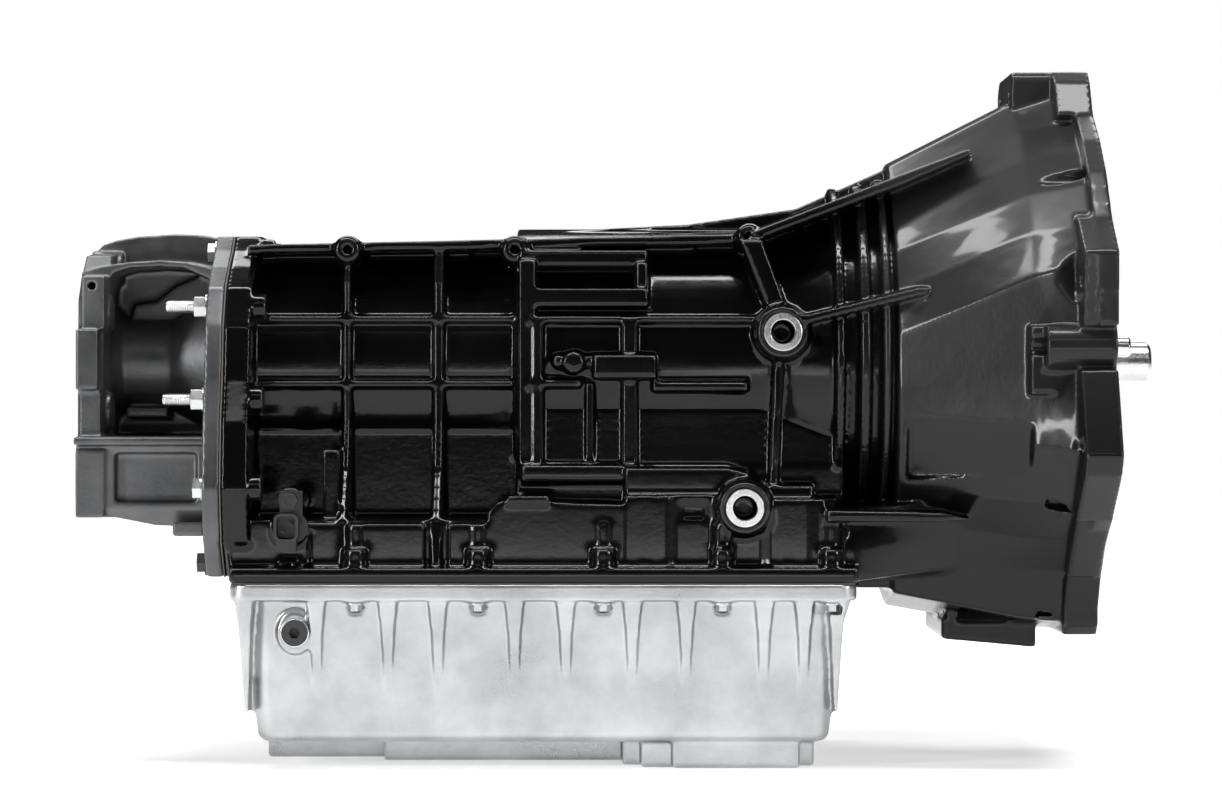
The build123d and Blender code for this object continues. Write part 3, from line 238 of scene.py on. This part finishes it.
MATS = {
    "case_paint": case_paint(),
    "adapter_cast": cast_metal("adapter_cast", (0.075, 0.076, 0.078), (0.13, 0.131, 0.134), 0.26, 0.42, 0.75, 300, 0.0003, 0.3),
    "pan_cast": cast_metal("pan_cast", (0.34, 0.345, 0.35), (0.51, 0.515, 0.52), 0.22, 0.34, 0.95, 520, 0.00022, 0.12),
    "bright_steel": turned("bright_steel", (0.60, 0.60, 0.61), (0.74, 0.74, 0.75), 0.16, 0.28, 1.0, (1.0, 0.25, 0.25)),
    "zinc": turned("zinc", (0.48, 0.485, 0.49), (0.64, 0.645, 0.65), 0.22, 0.36),
    "black_steel": moulded("black_steel", (0.012, 0.012, 0.013), (0.022, 0.022, 0.023), 0.30, 0.44, 0.15, 700),
    "gear_steel": turned("gear_steel", (0.34, 0.34, 0.35), (0.48, 0.48, 0.49), 0.24, 0.4),
    "gasket": moulded("gasket", (0.05, 0.045, 0.04), (0.08, 0.07, 0.06), 0.7, 0.85, 0.4, 900),
    "seal_rubber": moulded("seal_rubber", (0.012, 0.012, 0.012), (0.022, 0.022, 0.022), 0.5, 0.65, 0.2, 600),
    "plastic": moulded("plastic", (0.010, 0.010, 0.011), (0.02, 0.02, 0.021), 0.30, 0.42, 0.15, 800),
    "filter_plastic": moulded("filter_plastic", (0.05, 0.05, 0.05), (0.09, 0.09, 0.09), 0.4, 0.55, 0.2, 500),
    "bronze": turned("bronze", (0.42, 0.27, 0.12), (0.56, 0.38, 0.18), 0.28, 0.42),
    "pump_iron": cast_metal("pump_iron", (0.10, 0.10, 0.10), (0.17, 0.17, 0.17), 0.35, 0.5, 0.8, 300),
    "valve_alloy": cast_metal("valve_alloy", (0.45, 0.45, 0.46), (0.6, 0.6, 0.61), 0.35, 0.5, 0.9, 400),
    "friction": moulded("friction", (0.07, 0.045, 0.03), (0.12, 0.08, 0.05), 0.75, 0.9, 0.5, 700),
}


def paint(obj, name):
    m = MATS[name]
    if not obj.material_slots:
        obj.data.materials.append(m)
    for s in obj.material_slots:
        s.material = m


for name, obj in nodes.items():
    paint(obj, slots[name])


# ------------------------------------------------------------------ pieces
def soft_copy(name, voxel, rounds, factor=0.5):
    """the casting with its corners and roots rounded as a sand or die casting has them"""
    src = nodes[name]
    mesh = src.data.copy()
    mesh.name = name + "_cast"
    obj = bpy.data.objects.new(name + "_cast", mesh)
    scene.collection.objects.link(obj)
    weld = obj.modifiers.new("weld", "WELD")
    weld.merge_threshold = 0.00001
    re = obj.modifiers.new("remesh", "REMESH")
    re.mode = "VOXEL"
    re.voxel_size = voxel
    re.adaptivity = 0.0
    re.use_smooth_shade = True
    sm = obj.modifiers.new("smooth", "SMOOTH")
    sm.factor = factor
    sm.iterations = rounds
    dg = bpy.context.evaluated_depsgraph_get()
    baked = bpy.data.meshes.new_from_object(obj.evaluated_get(dg))
    obj.modifiers.clear()
    obj.data = baked
    for p in baked.polygons:
        p.use_smooth = True
    baked.materials.clear()
    baked.materials.append(MATS[slots[name]])
    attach(obj, "case")
    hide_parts(name)
    return obj


case_obj = soft_copy("main_case", 0.0018, 8)
adapter_obj = soft_copy("rear_adapter", 0.0016, 6)
pan_obj = soft_copy("oil_pan", 0.0017, 6)


def bevelled(obj, width, segments=2):
    w = obj.modifiers.new("weld", "WELD")
    w.merge_threshold = 0.00001
    b = obj.modifiers.new("bevel", "BEVEL")
    b.width = width
    b.segments = segments
    b.limit_method = "ANGLE"
    b.angle_limit = math.radians(38)
    b.use_clamp_overlap = True
    b.harden_normals = False
    n = obj.modifiers.new("normals", "WEIGHTED_NORMAL")
    n.keep_sharp = True


for name, width in (("adapter_nuts", 0.0006), ("adapter_bolts", 0.0006), ("adapter_lower_bolts", 0.0006),
                    ("pan_bolts", 0.0005), ("port_sleeves", 0.0007), ("input_shaft", 0.0006), ("pan_side_plug", 0.0006),
                    ("pan_plug_washer", 0.0003), ("speed_sensor", 0.0011), ("speed_sensor_bolt", 0.0005),
                    ("dowel_pins", 0.0004), ("solenoid_connector", 0.0008), ("pressure_plug", 0.0006),
                    ("shift_lever", 0.0008), ("lever_nut", 0.0006), ("manual_shaft", 0.0006),
                    ("stator_support", 0.0005), ("pump_bolts", 0.0005), ("pump_cover", 0.0007)):
    bevelled(nodes[name], width)


def lathe(name, profile, y, z, segments=40):
    """profile is a list of (x, r) from one end to the other"""
    bm = bmesh.new()
    rings = []
    for x, r in profile:
        ring = []
        for k in range(segments):
            a = 2 * math.pi * k / segments
            ring.append(bm.verts.new((x, y + r * math.cos(a), z + r * math.sin(a))))
        rings.append(ring)
    for a, b in zip(rings, rings[1:]):
        for k in range(segments):
            bm.faces.new((a[k], a[(k + 1) % segments], b[(k + 1) % segments], b[k]))
    bm.faces.new(rings[0][::-1])
    bm.faces.new(rings[-1])
    bmesh.ops.recalc_face_normals(bm, faces=bm.faces[:])
    me = bpy.data.meshes.new(name)
    bm.to_mesh(me)
    bm.free()
    for p in me.polygons:
        p.use_smooth = True
    return me


def join(name, meshes):
    bm = bmesh.new()
    for me in meshes:
        bm.from_mesh(me)
        bpy.data.meshes.remove(me)
    out = bpy.data.meshes.new(name)
    bm.to_mesh(out)
    bm.free()
    for p in out.polygons:
        p.use_smooth = True
    obj = bpy.data.objects.new(name, out)
    scene.collection.objects.link(obj)
    return obj


# threaded studs on the adapter
lo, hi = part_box("adapter_studs")
yz = [(0.110, 0.044), (0.133, -0.031), (-0.110, 0.044), (-0.133, -0.031)]
parts = []
for sy, sz in yz:
    prof = [(lo.x, 0.0036), (lo.x + 0.0012, 0.0045)]
    x = lo.x + 0.0016
    while x < -0.719:
        prof += [(x, 0.00425), (x + 0.00055, 0.005), (x + 0.00075, 0.005), (x + 0.0013, 0.00425)]
        x += 0.0015
    prof += [(x, 0.0047), (hi.x, 0.0047)]
    parts.append(lathe("stud", prof, sy, sz))
studs = join("adapter_studs_threaded", parts)
studs.data.materials.append(MATS["zinc"])
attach(studs, "case")
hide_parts("adapter_studs")

# ------------------------------------------------------------------ floor, lights and camera
def area(name, loc, target, size, power, colour=(1, 1, 1)):
    light = bpy.data.lights.new(name, "AREA")
    light.shape = "RECTANGLE"
    light.size, light.size_y = size
    light.energy = power
    light.color = colour
    obj = bpy.data.objects.new(name, light)
    obj.location = loc
    obj.rotation_mode = "QUATERNION"
    obj.rotation_quaternion = (Vector(target) - Vector(loc)).to_track_quat("-Z", "Y")
    scene.collection.objects.link(obj)
    return obj


floor_z = cad_lo.z
bm = bmesh.new()
for x, y in ((-6, -4), (6, -4), (6, 8), (-6, 8)):
    bm.verts.new((x - 0.39, y, floor_z))
bm.faces.new(bm.verts[:])
me = bpy.data.meshes.new("floor")
bm.to_mesh(me)
bm.free()
floor = bpy.data.objects.new("floor", me)
scene.collection.objects.link(floor)
t = Tree("floor")
grain = t.noise(6, 4)
me.materials.append(t.out(t.mix(t.ramp(grain, 0, 1, 0.3, 0.7), (0.93, 0.93, 0.93), (0.95, 0.95, 0.95)), t.ramp(grain, 0.55, 0.65, 0.3, 0.7), None, 0.0, 0.2))
e = t.bsdf.inputs
e["Emission Color"].default_value = (1, 1, 1, 1)
fx, fy, fz = split_x(t)
# the floor glows though it is no lamp: 0.30 near the object rising to 1.0 behind it, plus a faint band in front; the
# glow near the object is painted bounce light on its lower parts
t.link(t.math("ADD", t.ramp(fy, 0.30, 1.0, 0.15, 1.1), t.ramp(fy, 0.16, 0.0, -0.4, -0.7)), e["Emission Strength"])

world = bpy.data.worlds.new("studio")
scene.world = world
world.use_nodes = True
bg = next(n for n in world.node_tree.nodes if n.type == "BACKGROUND")
bg.inputs["Color"].default_value = (1, 1, 1, 1)
bg.inputs["Strength"].default_value = 1.0

path = world.node_tree.nodes.new("ShaderNodeLightPath")
white = world.node_tree.nodes.new("ShaderNodeBackground")
white.inputs["Color"].default_value = (1, 1, 1, 1)
white.inputs["Strength"].default_value = 1.0
both = world.node_tree.nodes.new("ShaderNodeMixShader")
out = next(n for n in world.node_tree.nodes if n.type == "OUTPUT_WORLD")
bg.inputs["Strength"].default_value = 0.035
world.node_tree.links.new(path.outputs["Is Camera Ray"], both.inputs[0])
world.node_tree.links.new(bg.outputs[0], both.inputs[1])
world.node_tree.links.new(white.outputs[0], both.inputs[2])
world.node_tree.links.new(both.outputs[0], out.inputs["Surface"])

area("overhead", (-0.5, -0.35, 1.6), (-0.45, 0.0, 0), (2.4, 0.22), 42)
area("top_back", (-0.4, 1.2, 1.5), (-0.4, 0.0, 0.1), (2.4, 0.5), 26)
area("front_left", (-2.4, -1.5, 0.55), (-0.5, 0, -0.1), (0.20, 1.3), 31)
area("front_right", (1.6, -1.5, 0.75), (-0.1, 0, 0.0), (0.20, 1.3), 22)
area("high_front", (-0.45, -2.2, 1.5), (-0.45, 0, -0.05), (1.8, 0.12), 3.5)
area("low_front", (-0.45, -1.9, -0.25), (-0.45, 0, -0.26), (1.7, 0.06), 2.0)

cam_data = bpy.data.cameras.new("camera")
cam_data.sensor_width = 36.0
cam_data.lens = 105.2
cam_data.clip_start, cam_data.clip_end = 0.05, 50.0
cam = bpy.data.objects.new("camera", cam_data)
cam.location = (-0.394, -3.0, -0.0354)
cam.rotation_euler = (math.radians(90), 0, 0)
scene.collection.objects.link(cam)
scene.camera = cam
scene.view_settings.view_transform = "Standard"
